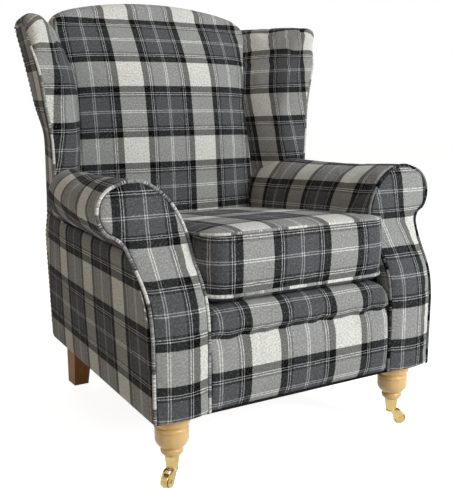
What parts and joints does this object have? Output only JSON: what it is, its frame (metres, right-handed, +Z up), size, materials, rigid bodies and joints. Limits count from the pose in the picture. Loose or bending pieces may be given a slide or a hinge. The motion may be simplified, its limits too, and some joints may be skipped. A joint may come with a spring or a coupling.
{
  "type": "fireside chair",
  "caption": "High-backed winged armchair with scrolled arms, a loose box cushion, turned front legs on castors and raked square rear legs.",
  "frame": {"origin": "bottom centre of the overall box, on the floor", "axes": "+Z up, -Y towards the front of the seat, +X across the chair"},
  "size_m": [0.8852, 0.8, 1.057],
  "materials": {
    "frame_wood": "sawn beech",
    "spring_steel": "oiled",
    "webbing": "woven elastic",
    "hessian": "felt under hessian",
    "dust_cloth": "thin non-woven",
    "pale_wood": "clear satin lacquer",
    "brown_wood": "stained satin lacquer",
    "brass": "polished, lacquered",
    "tartan": "brushed wool tartan over padding"
  },
  "bodies": {
    "chair": {"front_rail": "frame_wood", "back_rail": "frame_wood", "back_tack_rail": "frame_wood", "top_back_rail": "frame_wood", "corner_blocks": "frame_wood", "seat_springs": "spring_steel", "spring_clips": "spring_steel", "back_webbing": "webbing", "front_border": "tartan", "seat_deck": "hessian", "inside_back": "tartan", "outside_back": "tartan", "dust_cover": "dust_cloth", "leg_studs": "spring_steel", "right_front_post": "frame_wood", "left_front_post": "frame_wood", "right_back_upright": "frame_wood", "left_back_upright": "frame_wood", "right_side_rail": "frame_wood", "left_side_rail": "frame_wood", "right_arm_rail": "frame_wood", "left_arm_rail": "frame_wood", "right_wing_stile": "frame_wood", "left_wing_stile": "frame_wood", "right_wing_rail": "frame_wood", "left_wing_rail": "frame_wood", "right_arm_facing": "tartan", "left_arm_facing": "tartan", "right_facing_piping": "tartan", "left_facing_piping": "tartan", "right_arm_pad": "tartan", "left_arm_pad": "tartan", "right_outside_arm": "tartan", "left_outside_arm": "tartan", "right_wing_pad": "tartan", "left_wing_pad": "tartan", "right_outside_wing": "tartan", "left_outside_wing": "tartan", "right_front_leg": "pale_wood", "left_front_leg": "pale_wood", "right_leg_ferrule": "brass", "left_leg_ferrule": "brass", "right_rear_leg": "brown_wood", "left_rear_leg": "brown_wood"},
    "seat_cushion": {"seat_cushion": "tartan", "cushion_bottom_piping": "tartan", "cushion_top_piping": "tartan"},
    "left_castor": {"left_castor_horn": "brass", "left_castor_axle": "brass"},
    "left_wheel": {"left_castor_wheel": "brass"},
    "right_castor": {"right_castor_horn": "brass", "right_castor_axle": "brass"},
    "right_wheel": {"right_castor_wheel": "brass"}
  },
  "joints": [
    {"name": "cushion_lift", "type": "slide", "parent": "chair", "child": "seat_cushion", "axis": [0, 0, 1], "range_m": [0, 0.3]},
    {"name": "left_castor_swivel", "type": "hinge", "parent": "chair", "child": "left_castor", "pos_m": [-0.306, -0.345, 0.0377], "axis": [0, 0, 1], "continuous": true},
    {"name": "left_castor_roll", "type": "hinge", "parent": "left_castor", "child": "left_wheel", "pos_m": [-0.32402, -0.35762, 0.015], "axis": [0.5736, -0.8192, 0], "continuous": true},
    {"name": "right_castor_swivel", "type": "hinge", "parent": "chair", "child": "right_castor", "pos_m": [0.306, -0.345, 0.0377], "axis": [0, 0, 1], "continuous": true},
    {"name": "right_castor_roll", "type": "hinge", "parent": "right_castor", "child": "right_wheel", "pos_m": [0.32486, -0.35633, 0.015], "axis": [0.515, 0.8572, 0], "continuous": true}
  ]
}
